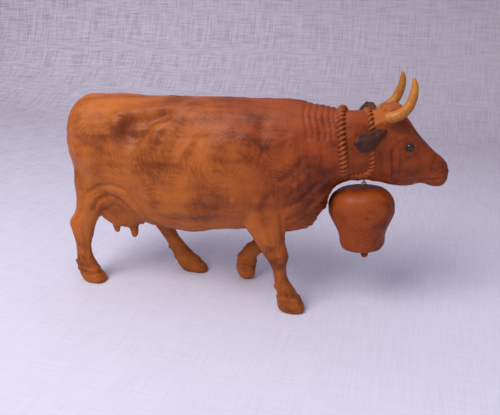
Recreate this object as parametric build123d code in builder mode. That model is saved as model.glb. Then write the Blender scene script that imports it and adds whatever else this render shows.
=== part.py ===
from math import cos, radians, sin, tan
import os

from build123d import *

# Carved wooden cow with two twisted ropes round its neck and head and a bell that
# swings. Millimetres. X runs from tail to head, Y to the cow's left, Z up. The
# origin is on the floor under the middle of the figure.

# Body, as heights over the floor and places along the cow
rump_x = -95.4
back_height = 103.4
withers_height = 105.4
belly_height = 32.2
barrel_half_width = 24.0
hip_half_width = 19.0
shoulder_half_width = 21.0
brisket_height = 38.5
brisket_x = 31.0
throat_height = 70.8

# Head: it turns to the cow's left about a point in the neck
neck_turn_x = 52.0
neck_half_width = 10.6
head_turn = 15.0
head_length = 46.4
poll_height = 104.6
forehead_height = 102.3
jaw_height = 65.8
muzzle_half_width = 6.3
brow_half_width = 8.6

# Legs
hoof_side = 13.4
cannon_thickness = 7.4
hoof_thickness = 9.6
hock_height = 34.3
knee_height = 33.0

# Udder
udder_x = -66.0
udder_height = 31.3
teat_radius = 1.5
teat_length = 4.5
teat_spacing = 10.5

# Horns and ears
horn_radius = 2.4
horn_tip_radius = 0.7
horn_tip_height = 117.8
horn_spread = 11.5
ear_thickness = 1.3
ear_length = 16.0
ear_width = 8.4
ear_droop = 2.2
left_ear_lift = 8.0
tenon_radius = 1.1
tenon_length = 3.5
glue_clearance = 0.05

# Eyes
eye_radius = 2.0
eye_shank_radius = 0.6
eye_shank_length = 4.0
eye_along = 26.1
eye_side = 7.1
eye_height = 86.7

# Tail
tail_height = 97.0
tail_radius = 2.0
tail_tuft_radius = 2.8
tail_length = 58.0

# Twisted ropes, half sunk in grooves
rope_radius = 2.0
collar_top_height = 102.0
head_rope_radius = 1.7
rope_clearance = 0.05

# Bell and the wires that hang it
wire_radius = 0.3
ring_radius = 1.0
wire_play = 0.05
eye_gap = 0.35
screw_radius = 0.45
screw_length = 6.0
seat_depth = 1.6
seat_radius = 3.0
crown_gap = 0.45
staple_reach = 2.2
bell_x = 60.2
bell_side = 1.0
bell_lean = 5.5
bell_crown_shift = 1.4
bell_height = 31.0
bell_half_width = 15.7
bell_half_depth = 12.0
bell_mouth_radius = 10.0
bell_wall = 1.7

# Clapper
clapper_stem_radius = 0.9
clapper_ball_radius = 1.8
clapper_length = 33.3


def across(x, height, side=0.0, turn=0.0):
    """Plane across the cow: local x is to the left, local y is up."""
    return Plane(
        origin=(x, side, height),
        x_dir=(-sin(radians(turn)), cos(radians(turn)), 0),
        z_dir=(cos(radians(turn)), sin(radians(turn)), 0),
    )


def trunk_slice(x, top, bottom, half_width, side=0.0, turn=0.0):
    """An oval slice of the body between two heights."""
    with BuildSketch(across(x, (top + bottom) / 2, side, turn)) as oval:
        Ellipse(half_width, (top - bottom) / 2)
    return oval.sketch.face()


def on_head(along, side, height):
    """The point that lies along and beside the head's own middle line."""
    turn = radians(head_turn)
    x = neck_turn_x + along * cos(turn) - side * sin(turn)
    return Vector(x, along * sin(turn) + side * cos(turn), height)


def head_slice(along, top, bottom, half_width):
    """An oval slice of the head."""
    middle = on_head(along, 0, 0)
    return trunk_slice(middle.X, top, bottom, half_width, middle.Y, head_turn)


def leg_slice(rear, front, height, side, thickness):
    """A level oval slice of a leg between its rear and front edges."""
    with BuildSketch(Plane.XY.offset(height)) as oval:
        with Locations(((rear + front) / 2, side)):
            Ellipse((front - rear) / 2, thickness / 2)
    return oval.sketch.face()


def limb_slice(x, height, side, lean, depth, thickness):
    """A slice square to a slanting limb, which leans forwards as it goes down."""
    slant = radians(lean)
    square = Plane(
        origin=(x, side, height),
        x_dir=(cos(slant), 0, sin(slant)),
        z_dir=(-sin(slant), 0, cos(slant)),
    )
    with BuildSketch(square) as oval:
        Ellipse(depth / 2, thickness / 2)
    return oval.sketch.face()


def round_slice(centre, direction, radius):
    """A round slice square to a direction."""
    with BuildSketch(Plane(origin=centre, z_dir=direction)) as disc:
        Circle(radius)
    return disc.sketch.face()


def soft_corners(points):
    """Radii that round each corner of a route as widely as its runs allow."""
    radii = []
    for before, corner, after in zip(points, points[1:], points[2:]):
        turn = radians((corner - before).get_angle(after - corner))
        shorter_run = min((corner - before).length, (after - corner).length)
        radii.append(0.45 * shorter_run / tan(turn / 2))
    return radii


def tube(points, radius):
    """A round tube along a route with rounded corners."""
    with BuildPart() as whole:
        with BuildLine() as route:
            FilletPolyline(*points, radius=soft_corners(points))
        sweep(sections=round_slice(points[0], points[1] - points[0], radius), path=route.line)
    return whole.part


# Heights down the chain: screw eye, link, staple, bell and clapper
hook_step = 2 * wire_radius + wire_play
throat_surface = throat_height - 2.6
seat_height = throat_surface + seat_depth
screw_eye_height = seat_height - eye_gap - ring_radius - wire_radius
link_pivot_height = screw_eye_height - ring_radius
link_height = link_pivot_height + hook_step - ring_radius
bell_pivot_height = link_height - ring_radius
crown_height = bell_pivot_height - wire_radius - crown_gap
clapper_pivot_height = crown_height - bell_wall - staple_reach
bell_down = Vector(sin(radians(bell_lean)), 0, -cos(radians(bell_lean)))
crown_centre = Vector(bell_x - bell_crown_shift, bell_side, crown_height)

# The collar lies on a leaning oval round the neck
collar_top = Vector(47.8, 0, collar_top_height)
collar_bottom = Vector(52.3, 0, throat_height - 0.6)
collar_plane = Plane(
    origin=(collar_top + collar_bottom) * 0.5,
    x_dir=(0, 1, 0),
    z_dir=Vector(0, 1, 0).cross(collar_top - collar_bottom),
)
collar_half_height = (collar_top - collar_bottom).length / 2

# The head rope leaves the collar at the throat and arches over the poll
arch_middle = 85.5
arch_half_height = 16.2
arch_half_width = brow_half_width + 0.9
throat_side = 5.0
rope_meeting = collar_bottom.X + rope_radius + 0.7


def arch_place(angle):
    """A point on the head rope's arch, at an angle from its top."""
    upright = cos(radians(angle))
    side = arch_half_width * sin(radians(angle))
    return on_head(9.0 - 1.6 * upright, side, arch_middle + arch_half_height * upright)


head_rope_points = [
    Vector(rope_meeting, -throat_side, throat_height),
    on_head(6.0, -throat_side, throat_height),
    *[arch_place(angle) for angle in range(-140, 141, 20)],
    on_head(6.0, throat_side, throat_height),
    Vector(rope_meeting, throat_side + 0.6, throat_height),
]

tail_top = tail_height + 4.2
tail_points = [
    Vector(rump_x + 8.0, 0, tail_top),
    Vector(rump_x + 2.6, 0, tail_top - 5.2),
    Vector(rump_x - 0.5, 0, tail_top - 15),
    Vector(rump_x - 0.2, 0, tail_top - 27),
    Vector(rump_x + 1.8, 0, tail_top - 38),
    Vector(rump_x + 3.6, 0, tail_top - 49),
    Vector(rump_x + 4.0, 0, tail_top - tail_length),
]

# Horn middle lines: along the head, to its side, height and radius
horn_axis = [
    (14.6, 3.2, 99.0, horn_radius),
    (18.0, 8.6, 101.0, horn_radius),
    (21.8, horn_spread, 104.4, horn_radius * 0.98),
    (24.0, horn_spread, 108.6, horn_radius * 0.88),
    (24.8, horn_spread - 0.8, 113.2, horn_radius * 0.68),
    (23.8, horn_spread - 1.6, horn_tip_height, horn_tip_radius),
]


def horn_slices(hand, clearance=0.0):
    """Round slices along one horn; hand is 1 on the cow's left and -1 on its right."""
    places = [on_head(along, hand * side, height) for along, side, height, _ in horn_axis]
    slices = []
    for index, place in enumerate(places):
        before = places[max(index - 1, 0)]
        after = places[min(index + 1, len(places) - 1)]
        slices.append(round_slice(place, after - before, horn_axis[index][3] + clearance))
    return slices


def ear_plane(hand):
    """Plane of an ear's flat side: local x runs from its root to its tip."""
    root = on_head(15.0, hand * 9.2, 93.4)
    if hand == 1:
        outwards = on_head(9.0, 19.0, root.Z + left_ear_lift) - root
    else:
        outwards = on_head(2.0, -18.0, root.Z - ear_droop) - root
    across_ear = Vector(0, 0, 1) - outwards * (outwards.Z / outwards.dot(outwards))
    return Plane(origin=root, x_dir=outwards, z_dir=outwards.cross(across_ear))


def ear_root_plane(hand):
    """Plane at an ear's root that faces along the ear, away from the head."""
    ear = ear_plane(hand)
    return Plane(origin=ear.origin, z_dir=ear.x_dir)


def eye_plane(hand):
    """Plane through the middle of an eye that faces outwards from the head."""
    outwards = on_head(0, hand, 0) - on_head(0, 0, 0)
    return Plane(origin=on_head(eye_along, hand * eye_side, eye_height), z_dir=outwards)


# Slices of the carved block
trunk = [
    trunk_slice(rump_x, back_height - 14, 68, hip_half_width - 14.5),
    trunk_slice(rump_x + 2.8, back_height - 8.6, 61, hip_half_width - 9.6),
    trunk_slice(rump_x + 7.4, back_height - 3.6, 53, hip_half_width - 4.4),
    trunk_slice(rump_x + 14.4, back_height - 0.6, 45, hip_half_width - 0.5),
    trunk_slice(rump_x + 29, back_height, 40, hip_half_width + 1.8),
    trunk_slice(rump_x + 48, back_height + 0.3, belly_height + 2, barrel_half_width - 1.5),
    trunk_slice(rump_x + 66, back_height + 0.8, belly_height + 0.6, barrel_half_width),
    trunk_slice(rump_x + 88, withers_height - 0.8, belly_height + 5, barrel_half_width),
    trunk_slice(rump_x + 106, withers_height - 0.2, brisket_height + 1, shoulder_half_width),
    trunk_slice(brisket_x - 6, withers_height, brisket_height, shoulder_half_width - 3),
    trunk_slice(brisket_x + 4, withers_height - 1, brisket_height + 4, neck_half_width + 4.5),
    trunk_slice(neck_turn_x - 10, collar_top_height + 1, brisket_height + 14.4, neck_half_width + 1.8),
    trunk_slice(neck_turn_x - 5, collar_top_height, throat_height - 4.6, neck_half_width, 0, 6),
    trunk_slice(neck_turn_x + 1, collar_top_height, throat_height - 1.6, neck_half_width - 0.6, 0, 10),
    head_slice(8, collar_top_height, throat_surface, brow_half_width + 1),
]
head = [
    head_slice(8, collar_top_height, throat_surface, brow_half_width + 1),
    head_slice(15, forehead_height, jaw_height + 2.6, brow_half_width + 0.7),
    head_slice(21, forehead_height, jaw_height + 0.8, brow_half_width + 0.4),
    head_slice(26, forehead_height - 3.5, jaw_height, brow_half_width),
    head_slice(31, forehead_height - 10, jaw_height + 0.8, brow_half_width - 1),
    head_slice(38, forehead_height - 17, jaw_height + 0.5, muzzle_half_width),
    head_slice(head_length - 2.5, forehead_height - 22.5, jaw_height, muzzle_half_width),
    head_slice(head_length, forehead_height - 26, jaw_height + 3, muzzle_half_width - 1.8),
]
hind_right = [
    leg_slice(-90, -60, 66, -hoof_side + 3.4, 15),
    leg_slice(-89.4, -69, 52, -hoof_side + 1.4, 12.5),
    leg_slice(-90.6, -75, 41, -hoof_side, 10),
    leg_slice(-94.4, -79, hock_height, -hoof_side, cannon_thickness + 1.4),
    leg_slice(-93.2, -82, hock_height - 6.5, -hoof_side, cannon_thickness),
    leg_slice(-92.6, -83.6, 18.8, -hoof_side, cannon_thickness - 0.4),
    leg_slice(-93, -82.3, 11.3, -hoof_side, cannon_thickness + 0.8),
    leg_slice(-93.4, -80.5, 6.8, -hoof_side, hoof_thickness - 1.2),
    leg_slice(-93.2, -78, 3, -hoof_side, hoof_thickness),
    leg_slice(-91.6, -78.3, 0, -hoof_side, hoof_thickness),
]
hind_left = [
    leg_slice(-86, -50, 58, hoof_side - 3, 14),
    leg_slice(-73, -49, 44, hoof_side - 1, 12),
    leg_slice(-64, -47, 34, hoof_side, 10),
    leg_slice(-57.6, -45, 26, hoof_side, cannon_thickness + 1),
    leg_slice(-51.6, -40, 18, hoof_side, cannon_thickness),
    leg_slice(-48, -35, 12, hoof_side, cannon_thickness + 0.8),
    leg_slice(-45.4, -29.8, 7, hoof_side, hoof_thickness - 1.2),
    leg_slice(-43.6, -26, 3, hoof_side, hoof_thickness),
    leg_slice(-42, -26.6, 0, hoof_side, hoof_thickness),
]
front_right = [
    leg_slice(-3, 27, 60, -hoof_side + 2.4, 14),
    leg_slice(3.4, 26, 46, -hoof_side + 1, 12),
    leg_slice(8.6, 25.2, 39, -hoof_side, 10),
    leg_slice(12.2, 27.9, knee_height, -hoof_side, cannon_thickness + 1.6),
    leg_slice(18.2, 27.4, knee_height - 8, -hoof_side, cannon_thickness),
    leg_slice(20.4, 28.2, 16.8, -hoof_side, cannon_thickness - 0.2),
    leg_slice(21.3, 32.6, 10.8, -hoof_side, cannon_thickness + 0.8),
    leg_slice(21.8, 35.4, 6.8, -hoof_side, hoof_thickness - 1.2),
    leg_slice(22.4, 36.8, 3, -hoof_side, hoof_thickness),
    leg_slice(24.4, 36, 0, -hoof_side, hoof_thickness),
]
front_left = [
    leg_slice(-4, 22, 60, hoof_side - 3, 14),
    leg_slice(1, 19, 46, hoof_side - 1, 11.5),
    limb_slice(11, 36, hoof_side, 6, 12, 9.5),
    limb_slice(11.6, 29, hoof_side, -28, 11.5, cannon_thickness + 1.4),
    limb_slice(8, 24, hoof_side, -50, 9.6, cannon_thickness),
    limb_slice(3.6, 20.5, hoof_side, -52, 8.6, cannon_thickness),
    limb_slice(-0.2, 15.6, hoof_side, -25, 10.6, cannon_thickness + 1.2),
    limb_slice(-1.8, 10, hoof_side, 0, 11.6, hoof_thickness - 1.2),
    limb_slice(-1.9, 4.6, hoof_side, 0, 10.8, hoof_thickness),
    limb_slice(-1.6, 0, hoof_side, 0, 8.0, hoof_thickness - 3),
]
udder = [
    leg_slice(udder_x - 20, udder_x + 19, 50, 0, 30),
    leg_slice(udder_x - 18, udder_x + 15, 40, 0, 26),
    leg_slice(udder_x - 13.5, udder_x + 11, udder_height + 3, 0, 20),
    leg_slice(udder_x - 6, udder_x + 6, udder_height, 0, 11),
]
joint_slice = 3

# Both ropes and the tail
with BuildPart() as neck_rope:
    with BuildLine(collar_plane) as collar_line:
        EllipticalCenterArc((0, 0), neck_half_width, collar_half_height, arc_size=360)
    sweep(sections=round_slice(collar_line.line @ 0, collar_line.line % 0, rope_radius))

with BuildPart() as head_rope:
    add(tube(head_rope_points, head_rope_radius))

with BuildPart() as tail:
    add(tube(tail_points, tail_radius))
    loft(
        sections=[
            round_slice(tail_points[-1] + Vector(0, 0, 1), (0, 0, -1), tail_radius * 0.9),
            round_slice(tail_points[-1] - Vector(0, 0, 4), (0, 0, -1), tail_tuft_radius),
            round_slice(tail_points[-1] - Vector(0, 0, 8), (0, 0, -1), tail_tuft_radius * 0.9),
            round_slice(tail_points[-1] - Vector(0, 0, 12), (0, 0, -1), tail_tuft_radius * 0.3),
        ]
    )

# The carved block, and what is cut into it for the pieces that it carries
with BuildPart() as carved_body:
    for slices in (trunk, head, udder):
        loft(sections=slices)
    for limb in (hind_right, hind_left, front_right, front_left):
        loft(sections=limb[: joint_slice + 1])
        loft(sections=limb[joint_slice:])
    with BuildSketch(Plane.XY.offset(udder_height - teat_length)):
        with Locations((udder_x, 0)):
            with GridLocations(teat_spacing, teat_spacing, 2, 2):
                Circle(teat_radius)
    extrude(amount=teat_length + 5)
    poll_base = Plane(on_head(17.5, 0, forehead_height - 6), x_dir=on_head(1, 0, 0) - on_head(0, 0, 0))
    with BuildSketch(poll_base):
        RectangleRounded(9.5, 2 * brow_half_width - 4, 3)
    extrude(amount=poll_height - forehead_height + 6, taper=5)

    with BuildLine(collar_plane) as collar_groove:
        EllipticalCenterArc((0, 0), neck_half_width, collar_half_height, arc_size=360)
    groove = round_slice(collar_groove.line @ 0, collar_groove.line % 0, rope_radius + rope_clearance)
    sweep(sections=groove, path=collar_groove.line, mode=Mode.SUBTRACT)
    add(tube(head_rope_points, head_rope_radius + rope_clearance), mode=Mode.SUBTRACT)
    add(tube(tail_points, tail_radius + glue_clearance), mode=Mode.SUBTRACT)
    for hand in (1, -1):
        loft(sections=horn_slices(hand, glue_clearance), mode=Mode.SUBTRACT)
        with Locations(eye_plane(hand)):
            Sphere(eye_radius + glue_clearance, mode=Mode.SUBTRACT)
        with BuildSketch(eye_plane(hand)):
            Circle(eye_shank_radius + glue_clearance)
        extrude(amount=-eye_radius - eye_shank_length - glue_clearance, mode=Mode.SUBTRACT)
        with BuildSketch(ear_root_plane(hand)):
            Circle(tenon_radius + glue_clearance)
        extrude(amount=-tenon_length - glue_clearance, mode=Mode.SUBTRACT)
    with BuildSketch(Plane.XY.offset(seat_height)):
        with Locations((bell_x, bell_side)):
            Circle(seat_radius)
    extrude(amount=-seat_depth - 2, mode=Mode.SUBTRACT)
    with BuildSketch(Plane.XY.offset(seat_height - 1)):
        with Locations((bell_x, bell_side)):
            Circle(screw_radius + glue_clearance)
    extrude(amount=screw_length + 1, mode=Mode.SUBTRACT)


def make_horn(hand):
    """One horn, with the tenon that sits in the poll."""
    with BuildPart() as horn:
        loft(sections=horn_slices(hand))
    return horn.part


def make_ear(hand):
    """One thin leather-like ear: a leaf on a round tenon."""
    with BuildPart() as ear:
        with BuildSketch(ear_plane(hand).offset(-ear_thickness / 2)):
            with BuildLine():
                Spline(
                    (0, -ear_width * 0.2),
                    (ear_length * 0.35, -ear_width * 0.45),
                    (ear_length * 0.75, -ear_width * 0.5),
                    (ear_length, -ear_width * 0.12),
                    (ear_length * 0.96, ear_width * 0.3),
                    (ear_length * 0.65, ear_width * 0.5),
                    (ear_length * 0.3, ear_width * 0.38),
                    (0, ear_width * 0.2),
                )
                Line((0, ear_width * 0.2), (0, -ear_width * 0.2))
            make_face()
        extrude(amount=ear_thickness)
        with BuildSketch(ear_root_plane(hand)):
            Circle(tenon_radius)
        extrude(amount=-tenon_length)
    return ear.part


def make_eye(hand):
    """One glass bead on its shank."""
    with BuildPart() as eye:
        with Locations(eye_plane(hand)):
            Sphere(eye_radius)
        with BuildSketch(eye_plane(hand)):
            Circle(eye_shank_radius)
        extrude(amount=-eye_radius - eye_shank_length)
    return eye.part


horn_left, horn_right = make_horn(1), make_horn(-1)
ear_left, ear_right = make_ear(1), make_ear(-1)
eye_left, eye_right = make_eye(1), make_eye(-1)

# Screw eye in the throat and the link that hangs from it
with BuildPart() as throat_screw_eye:
    with Locations((bell_x, bell_side, screw_eye_height)):
        Torus(ring_radius, wire_radius, rotation=(0, 90, 0))
    with BuildSketch(Plane.XY.offset(screw_eye_height + ring_radius)):
        with Locations((bell_x, bell_side)):
            Circle(screw_radius)
    extrude(amount=seat_height + screw_length - screw_eye_height - ring_radius - 0.1)

with BuildPart() as hanger_link:
    with Locations((bell_x, bell_side, link_height)):
        Torus(ring_radius, wire_radius, rotation=(90, 0, 0))

# The bell: ovals square to its leaning axis, hollow, with the staple through its crown
bell_profile = [
    (0.0, bell_half_width - 9.0, bell_half_depth - 8.0),
    (1.6, bell_half_width - 4.6, bell_half_depth - 4.2),
    (4.5, bell_half_width - 1.3, bell_half_depth - 1.2),
    (9.0, bell_half_width, bell_half_depth),
    (14.0, bell_half_width - 0.6, bell_half_depth - 0.5),
    (19.0, bell_half_width - 2.8, bell_half_depth - 1.8),
    (24.0, bell_mouth_radius + 0.8, bell_mouth_radius + 0.4),
    (bell_height, bell_mouth_radius, bell_mouth_radius),
]


def bell_slices(inset):
    """Ovals of the bell's outside, or of its hollow where inset is the wall."""
    slices = []
    for depth, half_width, half_depth in bell_profile:
        down = min(depth + inset, bell_height) if depth < bell_half_depth else depth
        with BuildSketch(Plane(crown_centre + bell_down * down, x_dir=(0, 1, 0), z_dir=bell_down)) as oval:
            Ellipse(half_depth - inset, half_width - inset)
        slices.append(oval.sketch.face())
    return slices


staple_holes = [(bell_x, bell_side - ring_radius), (bell_x, bell_side + ring_radius)]
with BuildPart() as bell_shell:
    loft(sections=bell_slices(0))
    loft(sections=bell_slices(bell_wall), mode=Mode.SUBTRACT)
    with BuildSketch(Plane.XY.offset(crown_height + 1)):
        with Locations(*staple_holes):
            Circle(wire_radius + wire_play)
    extrude(amount=-bell_wall - 3, mode=Mode.SUBTRACT)

staple_plane = Plane(origin=(bell_x, bell_side, 0), x_dir=(0, 1, 0), z_dir=(1, 0, 0))
staple_top_arc = bell_pivot_height + hook_step - ring_radius
staple_bottom_arc = clapper_pivot_height + ring_radius
with BuildPart() as bell_staple:
    with BuildLine(staple_plane) as staple_line:
        Line((ring_radius, staple_bottom_arc), (ring_radius, staple_top_arc))
        CenterArc((0, staple_top_arc), ring_radius, 0, 180)
        Line((-ring_radius, staple_top_arc), (-ring_radius, staple_bottom_arc))
        CenterArc((0, staple_bottom_arc), ring_radius, 180, 180)
    sweep(sections=round_slice(staple_line.line @ 0, staple_line.line % 0, wire_radius))

# The clapper hangs by its own ring from the foot of the staple
clapper_ring = Vector(bell_x, bell_side, clapper_pivot_height + hook_step - ring_radius)
clapper_end = Vector(bell_x, bell_side, clapper_pivot_height) + bell_down * clapper_length
ball_centre = clapper_end - bell_down * clapper_ball_radius
stem_top = clapper_ring + bell_down * ring_radius
with BuildPart() as clapper:
    with Locations(clapper_ring):
        Torus(ring_radius, wire_radius, rotation=(90, 0, 0))
    with BuildSketch(Plane(origin=stem_top, z_dir=bell_down)):
        Circle(clapper_stem_radius)
    extrude(amount=(ball_centre - stem_top).length)
    with Locations(ball_centre):
        Sphere(clapper_ball_radius)

pieces = {
    "carved_body": carved_body.part,
    "horn_left": horn_left,
    "horn_right": horn_right,
    "ear_left": ear_left,
    "ear_right": ear_right,
    "eye_left": eye_left,
    "eye_right": eye_right,
    "tail": tail.part,
    "neck_rope": neck_rope.part,
    "head_rope": head_rope.part,
    "throat_screw_eye": throat_screw_eye.part,
    "hanger_link": hanger_link.part,
    "bell_shell": bell_shell.part,
    "bell_staple": bell_staple.part,
    "clapper": clapper.part,
}
os.makedirs("parts", exist_ok=True)
for name, piece in pieces.items():
    piece.label = name
    export_step(piece, f"parts/{name}.step")
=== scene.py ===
import bpy
import bmesh
import math
import numpy as np
from mathutils import Matrix, Vector


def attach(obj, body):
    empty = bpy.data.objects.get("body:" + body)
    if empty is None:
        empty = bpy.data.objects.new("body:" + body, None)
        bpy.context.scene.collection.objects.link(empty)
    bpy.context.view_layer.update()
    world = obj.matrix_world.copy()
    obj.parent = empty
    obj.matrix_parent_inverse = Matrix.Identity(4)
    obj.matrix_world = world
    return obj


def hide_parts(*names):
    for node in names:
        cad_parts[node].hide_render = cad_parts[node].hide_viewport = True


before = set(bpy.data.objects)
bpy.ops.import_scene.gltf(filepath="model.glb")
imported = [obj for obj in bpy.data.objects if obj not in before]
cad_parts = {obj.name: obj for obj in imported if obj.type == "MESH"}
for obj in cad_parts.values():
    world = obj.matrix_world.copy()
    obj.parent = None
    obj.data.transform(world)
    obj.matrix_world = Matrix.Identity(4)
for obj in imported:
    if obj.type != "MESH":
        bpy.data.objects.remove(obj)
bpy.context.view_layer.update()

# Pieces are shaped in millimetres and made metres when they are finished.
# X runs to the head, Y to the cow's left, Z up. The camera sees the right side.
forward = Vector((1.0, 0.0, 0.0))
leftward = Vector((0.0, 1.0, 0.0))
upward = Vector((0.0, 0.0, 1.0))

headTurn = math.radians(15.0)
neckTurn = Vector((52.0, 0.0, 0.0))
headAlong = Vector((math.cos(headTurn), math.sin(headTurn), 0.0))
headSide = Vector((-math.sin(headTurn), math.cos(headTurn), 0.0))


def onHead(along, side, height):
    # along the turned head, to its left, above the floor
    return neckTurn + headAlong * along + headSide * side + upward * height


def denser(rows, steps):
    # more rows between the rows of a table, smooth and without overshoot
    table = np.array(rows, float)
    step = np.diff(table, axis=0)
    slope = np.zeros_like(table)
    same = step[:-1] * step[1:] > 0
    total = np.where(same, step[:-1] + step[1:], 1.0)
    slope[1:-1] = np.where(same, 2 * step[:-1] * step[1:] / total, 0.0)
    slope[0], slope[-1] = step[0], step[-1]
    made = []
    for row in range(len(step)):
        for part in range(steps):
            t = part / steps
            made.append(table[row] * (2 * t ** 3 - 3 * t ** 2 + 1) + slope[row] * (t ** 3 - 2 * t ** 2 + t)
                        + table[row + 1] * (3 * t ** 2 - 2 * t ** 3) + slope[row + 1] * (t ** 3 - t ** 2))
    made.append(table[-1])
    return made


def ovalRing(bm, centre, across, rise, half, above, below, square=2.0, count=48, lobes=None):
    # square is 2 for an ellipse and more for fuller corners; lobes swells the ring by angle
    ring = bmesh.ops.create_circle(bm, cap_ends=False, segments=count, radius=1.0)["verts"]
    for vert in ring:
        c, s = vert.co.x, vert.co.y
        swell = lobes(math.atan2(s, c)) if lobes else 1.0
        sideways = math.copysign(abs(c) ** (2 / square), c) * half * swell
        height = math.copysign(abs(s) ** (2 / square), s) * (above if s > 0 else below) * swell
        vert.co = centre + across * sideways + rise * height
    return ring


def tubeRings(bm, line, count, lobes=None, twist=0.0):
    # rings square to a line of points with radii; twist turns them per millimetre
    places = [Vector(row[:3]) for row in line]
    rings = []
    travelled = 0.0
    side = None
    for index, place in enumerate(places):
        heading = (places[min(index + 1, len(places) - 1)] - places[max(index - 1, 0)]).normalized()
        side = heading.orthogonal() if side is None else (side - heading * side.dot(heading))
        side.normalize()
        if index:
            travelled += (place - places[index - 1]).length
        turned = Matrix.Rotation(travelled * twist, 3, heading) @ side
        radius = line[index][3]
        lift = heading.cross(turned)
        rings.append(ovalRing(bm, place, turned, lift, radius, radius, radius, 2.0, count, lobes))
    return rings


def skinRings(bm, rings):
    loops = [list({edge for vert in ring for edge in vert.link_edges}) for ring in rings]
    for first, second in zip(loops, loops[1:]):
        bmesh.ops.bridge_loops(bm, edges=first + second)
    for ring in (rings[0], rings[-1]):
        bmesh.ops.contextual_create(bm, geom=ring)


def asMesh(bm, name):
    bmesh.ops.recalc_face_normals(bm, faces=bm.faces)
    mesh = bpy.data.meshes.new(name)
    bm.to_mesh(mesh)
    bm.free()
    return mesh


def finished(mesh, name, material, body, node):
    # a piece made metres, with its finish, the body that it rides on and the CAD node that it replaces
    mesh.transform(Matrix.Scale(0.001, 4))
    mesh.polygons.foreach_set("use_smooth", [True] * len(mesh.polygons))
    piece = bpy.data.objects.new(name, mesh)
    bpy.context.scene.collection.objects.link(piece)
    mesh.materials.clear()
    mesh.materials.append(material)
    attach(piece, body)
    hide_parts(node)
    print("piece", name, len(mesh.polygons), "faces")
    return piece


class Sock:
    # a socket that Python's own operators can be used on
    def __init__(self, tree, socket):
        self.tree = tree
        self.socket = socket

    def maths(self, operation, *values):
        return self.tree.node("ShaderNodeMath", {"operation": operation}, dict(enumerate(values)))

    def __add__(self, other):
        return self.maths("ADD", self, other)

    def __sub__(self, other):
        return self.maths("SUBTRACT", self, other)

    def __rsub__(self, other):
        return self.maths("SUBTRACT", other, self)

    def __mul__(self, other):
        return self.maths("MULTIPLY", self, other)

    def __truediv__(self, other):
        return self.maths("DIVIDE", self, other)

    def floor(self):
        return self.maths("FLOOR", self)

    def fract(self):
        return self.maths("FRACT", self)

    def between(self, low, high, start=0.0, end=1.0):
        # start at low and end at high, with a soft run between them
        settings = {"interpolation_type": "SMOOTHSTEP", "clamp": True}
        inputs = {"Value": self, "From Min": low, "From Max": high, "To Min": start, "To Max": end}
        return self.tree.node("ShaderNodeMapRange", settings, inputs)


class Finish:
    # one material and a short way to add its nodes
    def __init__(self, name):
        self.material = bpy.data.materials.new(name)
        self.material.use_nodes = True
        self.nodes = self.material.node_tree.nodes
        self.links = self.material.node_tree.links
        self.shader = self.nodes["Principled BSDF"]

    def node(self, kind, settings=None, inputs=None, output=0):
        made = self.nodes.new(kind)
        for name, value in (settings or {}).items():
            if name == "stops":
                for element, (place, colour) in zip(made.color_ramp.elements, value):
                    element.position = place
                    element.color = (*colour, 1.0)
            else:
                setattr(made, name, value)
        for name, value in (inputs or {}).items():
            self.feed(made.inputs[name], value)
        return Sock(self, made.outputs[output])

    def feed(self, socket, value):
        if isinstance(value, Sock):
            self.links.new(value.socket, socket)
        else:
            socket.default_value = value

    def place(self, stretch=(1000.0, 1000.0, 1000.0)):
        # where a point lies on the piece, in millimetres unless a pattern is stretched; output 3 is Object
        coords = self.node("ShaderNodeTexCoord", output=3)
        return self.node("ShaderNodeMapping", {}, {"Vector": coords, "Scale": stretch})

    def axes(self):
        split = self.node("ShaderNodeSeparateXYZ", {}, {"Vector": self.place()})
        return [Sock(self, output) for output in split.socket.node.outputs]

    def noise(self, stretch, detail=3.0, rough=0.5):
        return self.node("ShaderNodeTexNoise", {}, {"Vector": self.place(stretch), "Scale": 1.0,
                                                    "Detail": detail, "Roughness": rough})

    def mixed(self, factor, first, second):
        # sockets 0, 6 and 7 of a colour mix are its factor and its two colours
        made = self.nodes.new("ShaderNodeMix")
        made.data_type = "RGBA"
        self.feed(made.inputs[0], factor)
        for index, colour in ((6, first), (7, second)):
            self.feed(made.inputs[index], colour if isinstance(colour, Sock) else (*colour, 1.0))
        return Sock(self, made.outputs[2])

    def set(self, **values):
        for name, value in values.items():
            self.feed(self.shader.inputs[name.replace("_", " ")], value)

    def bump(self, height, distance, strength):
        inputs = {"Height": height, "Distance": distance, "Strength": strength}
        self.set(Normal=self.node("ShaderNodeBump", {}, inputs))


woodValues = {
    # tones are pale and dark at the rump, then pale and dark at the head, darker there partly as the wood's
    # deeper red and partly as painted shade; ringGap is in millimetres;
    # the patches of painted shade, over the hip hollow, the rump, the flank, the neck and the low chest, are
    # x and z of the middle, how far they reach, and how much darker they are
    "CowWood": {
        "tones": [(0.42, 0.108, 0.015), (0.15, 0.027, 0.004), (0.26, 0.042, 0.006), (0.08, 0.011, 0.002)],
        "ringGap": 0.5, "ringShare": 0.24, "mottle": 1.0, "rough": 0.5,
        "shadePatches": [(-68.0, 82.0, 16.0, 0.22), (-55.0, 91.0, 10.0, 0.36), (-46.0, 87.0, 17.0, 0.2),
                   (-34.0, 78.0, 15.0, 0.16), (35.0, 70.0, 17.0, 0.42), (23.0, 31.0, 14.0, 0.28)],
    },
    "HornWood": {
        "tones": [(0.46, 0.165, 0.028), (0.22, 0.060, 0.010)] * 2,
        "ringGap": 0.7, "ringShare": 0.25, "mottle": 0.7, "rough": 0.38, "shadePatches": [],
    },
    "RopeWood": {
        "tones": [(0.32, 0.072, 0.014), (0.11, 0.018, 0.004)] * 2,
        "ringGap": 0.8, "ringShare": 0.2, "mottle": 0.8, "rough": 0.5, "shadePatches": [],
    },
    "BellWoodFinish": {
        "tones": [(0.27, 0.046, 0.005), (0.09, 0.011, 0.002)] * 2,
        "ringGap": 0.7, "ringShare": 0.25, "mottle": 1.2, "rough": 0.48, "shadePatches": [],
    },
}
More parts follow.
